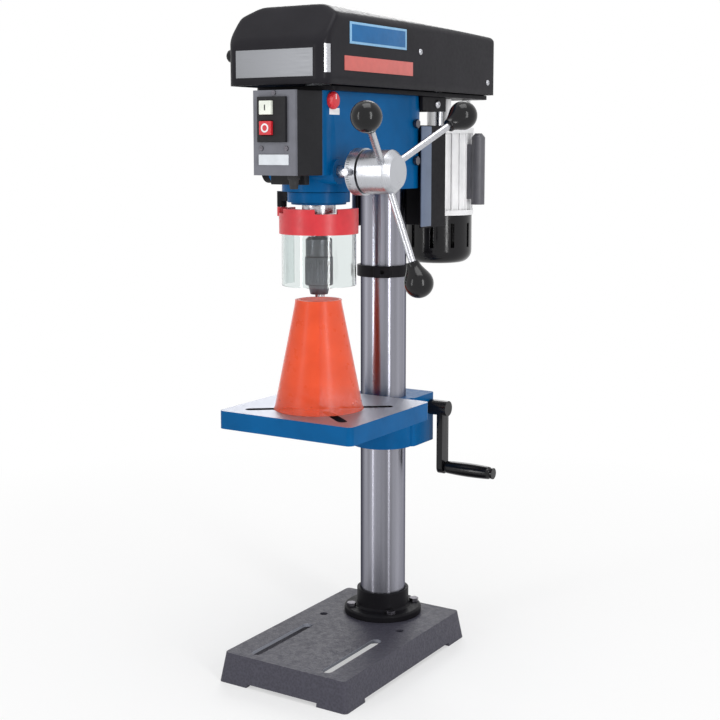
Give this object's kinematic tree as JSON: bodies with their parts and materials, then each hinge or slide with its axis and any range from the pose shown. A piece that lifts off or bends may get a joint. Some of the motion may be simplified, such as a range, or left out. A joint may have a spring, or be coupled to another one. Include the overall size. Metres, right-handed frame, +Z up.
{
  "type": "benchtop drill press",
  "caption": "Bench drill press: cast base, round column, rack-raised tilting table, belt-driven spindle with quill feed, chuck, swing guard and hinged belt cover.",
  "frame": {"origin": "midway between the two bench bolt holes, on the bench plane under the base", "axes": "+Z up along the column, +X to the operator's right, +Y to the back (the operator stands at -Y)"},
  "size_m": [0.2902, 0.5449, 0.89],
  "materials": {
    "blue_paint": "semi-gloss enamel",
    "black_paint": "satin enamel",
    "base_iron": "hammered grey enamel",
    "bright_steel": "ground and polished",
    "dark_steel": "blackened",
    "alloy": "turned and cast aluminium",
    "black_plastic": "glossy moulded",
    "matte_black_plastic": "fine grained",
    "grey_plastic": "fine grained",
    "red_plastic": "glossy moulded",
    "green_plastic": "glossy moulded",
    "display_plastic": "window",
    "orange_clear": "tinted translucent",
    "clear_plastic": "clear polycarbonate",
    "rubber": "matt"
  },
  "bodies": {
    "stand": {"base": "base_iron", "column_flange": "black_paint", "flange_bolts": "dark_steel", "column": "bright_steel", "rack_ring": "black_paint", "head_casting": "blue_paint", "head_clamp_screws": "dark_steel", "quill_spring_cap": "black_paint", "quill_return_spring": "bright_steel", "belt_tray": "black_paint", "motor_bracket": "black_paint", "motor_standoffs": "alloy", "motor_housing": "alloy", "motor_end_bell": "black_paint", "motor_capacitor": "matte_black_plastic", "motor_bearings": "bright_steel", "cord_gland": "rubber", "switch_box": "matte_black_plastic", "switch_fascia": "grey_plastic", "switch_bezel": "matte_black_plastic", "speed_display": "display_plastic", "fascia_screws": "bright_steel", "pulley_bearings": "bright_steel", "drive_belt": "rubber", "guard_bracket": "black_paint", "guard_hinge_pin": "bright_steel", "cover_hinge_pin": "bright_steel"},
    "lid": {"belt_cover": "black_paint", "cover_knob": "black_plastic"},
    "motor_drive": {"motor_rotor": "bright_steel", "motor_sheave": "alloy"},
    "spindle_drive": {"spindle_sheave": "alloy"},
    "quill_unit": {"quill": "bright_steel", "quill_bearings": "bright_steel"},
    "spindle_unit": {"spindle": "bright_steel", "chuck_body": "bright_steel"},
    "chuck_ring": {"chuck_sleeve": "dark_steel"},
    "jaw_a": {"chuck_jaw_a": "bright_steel"},
    "jaw_b": {"chuck_jaw_b": "bright_steel"},
    "jaw_c": {"chuck_jaw_c": "bright_steel"},
    "feed": {"pinion_shaft": "bright_steel", "feed_hub": "alloy", "feed_levers": "bright_steel", "lever_knobs": "black_plastic"},
    "depth_stop": {"depth_ring": "alloy", "depth_screw": "bright_steel"},
    "rack": {"table_rack": "bright_steel"},
    "bracket": {"table_bracket": "blue_paint", "tilt_bolt": "bright_steel"},
    "clamp": {"clamp_lever": "black_plastic"},
    "crank": {"crank_shaft": "bright_steel", "crank_arm": "black_paint"},
    "crank_handle": {"crank_grip": "black_plastic"},
    "table": {"table": "blue_paint"},
    "hood": {"chip_guard": "orange_clear"},
    "guard": {"guard_frame": "red_plastic", "guard_shield": "clear_plastic"},
    "start": {"start_button": "green_plastic"},
    "stop": {"stop_button": "red_plastic"},
    "speed": {"speed_knob": "red_plastic"}
  },
  "joints": [
    {"name": "lid_open", "type": "hinge", "parent": "stand", "child": "lid", "pos_m": [0, 0.2625, 0.7965], "axis": [-1, 0, 0], "range_deg": [0, 75]},
    {"name": "motor_spin", "type": "hinge", "parent": "stand", "child": "motor_drive", "pos_m": [0, 0.22, 0.7], "axis": [0, 0, 1], "continuous": true},
    {"name": "sheave_spin", "type": "hinge", "parent": "stand", "child": "spindle_drive", "pos_m": [0, -0.104, 0.8], "axis": [0, 0, 1], "continuous": true},
    {"name": "quill_feed", "type": "slide", "parent": "stand", "child": "quill_unit", "axis": [0, 0, -1], "range_m": [0, 0.06], "stiffness_N_per_m": 500, "springref_m": -0.1},
    {"name": "spindle_spin", "type": "hinge", "parent": "quill_unit", "child": "spindle_unit", "pos_m": [0, -0.104, 0.56], "axis": [0, 0, 1], "continuous": true},
    {"name": "chuck_turn", "type": "hinge", "parent": "spindle_unit", "child": "chuck_ring", "pos_m": [0, -0.104, 0.56], "axis": [0, 0, 1], "range_deg": [0, 720]},
    {"name": "jaw_slide_a", "type": "slide", "parent": "spindle_unit", "child": "jaw_a", "axis": [0.1504, 0.0868, 0.9848], "range_m": [0, 0.0081]},
    {"name": "jaw_slide_b", "type": "slide", "parent": "spindle_unit", "child": "jaw_b", "axis": [-0.1504, 0.0868, 0.9848], "range_m": [0, 0.0081]},
    {"name": "jaw_slide_c", "type": "slide", "parent": "spindle_unit", "child": "jaw_c", "axis": [0, -0.1736, 0.9848], "range_m": [0, 0.0081]},
    {"name": "feed_turn", "type": "hinge", "parent": "stand", "child": "feed", "pos_m": [0, -0.134, 0.6835], "axis": [1, 0, 0], "range_deg": [-335, 5]},
    {"name": "depth_set", "type": "hinge", "parent": "feed", "child": "depth_stop", "pos_m": [0, -0.134, 0.6835], "axis": [1, 0, 0], "range_deg": [-170, 170]},
    {"name": "table_swivel", "type": "hinge", "parent": "stand", "child": "rack", "pos_m": [0, 0.06, 0.3], "axis": [0, 0, 1], "range_deg": [-90, 90]},
    {"name": "table_lift", "type": "slide", "parent": "rack", "child": "bracket", "axis": [0, 0, 1], "range_m": [-0.18, 0.06]},
    {"name": "table_tilt", "type": "hinge", "parent": "bracket", "child": "table", "pos_m": [0, 0.014, 0.329], "axis": [0, 1, 0], "range_deg": [-45, 45]},
    {"name": "clamp_turn", "type": "hinge", "parent": "bracket", "child": "clamp", "pos_m": [-0.06, 0.06, 0.312], "axis": [1, 0, 0], "range_deg": [-60, 60]},
    {"name": "crank_turn", "type": "hinge", "parent": "bracket", "child": "crank", "pos_m": [0.07, 0.10958, 0.34], "axis": [1, 0, 0], "range_deg": [-1000, 360]},
    {"name": "grip_spin", "type": "hinge", "parent": "crank", "child": "crank_handle", "pos_m": [0.11, 0.10958, 0.254], "axis": [1, 0, 0], "continuous": true},
    {"name": "hood_slide", "type": "slide", "parent": "table", "child": "hood", "axis": [0, -1, 0], "range_m": [0, 0.25]},
    {"name": "guard_swing", "type": "hinge", "parent": "stand", "child": "guard", "pos_m": [-0.059, -0.104, 0.62], "axis": [0, 0, -1], "range_deg": [0, 100]},
    {"name": "start_press", "type": "slide", "parent": "stand", "child": "start", "axis": [0, 1, 0], "range_m": [0, 0.003], "stiffness_N_per_m": 500, "springref_m": -0.001},
    {"name": "stop_press", "type": "slide", "parent": "stand", "child": "stop", "axis": [0, 1, 0], "range_m": [0, 0.003], "stiffness_N_per_m": 500, "springref_m": -0.001},
    {"name": "speed_turn", "type": "hinge", "parent": "stand", "child": "speed", "pos_m": [0.05, -0.146, 0.772], "axis": [1, 0, 0], "range_deg": [-135, 135]}
  ],
  "couplings": [
    {"joint": "sheave_spin", "follows": "motor_spin", "ratio": 0.5},
    {"joint": "spindle_spin", "follows": "motor_spin", "ratio": 0.5},
    {"joint": "feed_turn", "follows": "quill_feed", "rad_per_m": -95.238},
    {"joint": "crank_turn", "follows": "table_lift", "rad_per_m": 95.238},
    {"joint": "jaw_slide_a", "follows": "chuck_turn", "m_per_rad": 0.00063662},
    {"joint": "jaw_slide_b", "follows": "chuck_turn", "m_per_rad": 0.00063662},
    {"joint": "jaw_slide_c", "follows": "chuck_turn", "m_per_rad": 0.00063662}
  ]
}
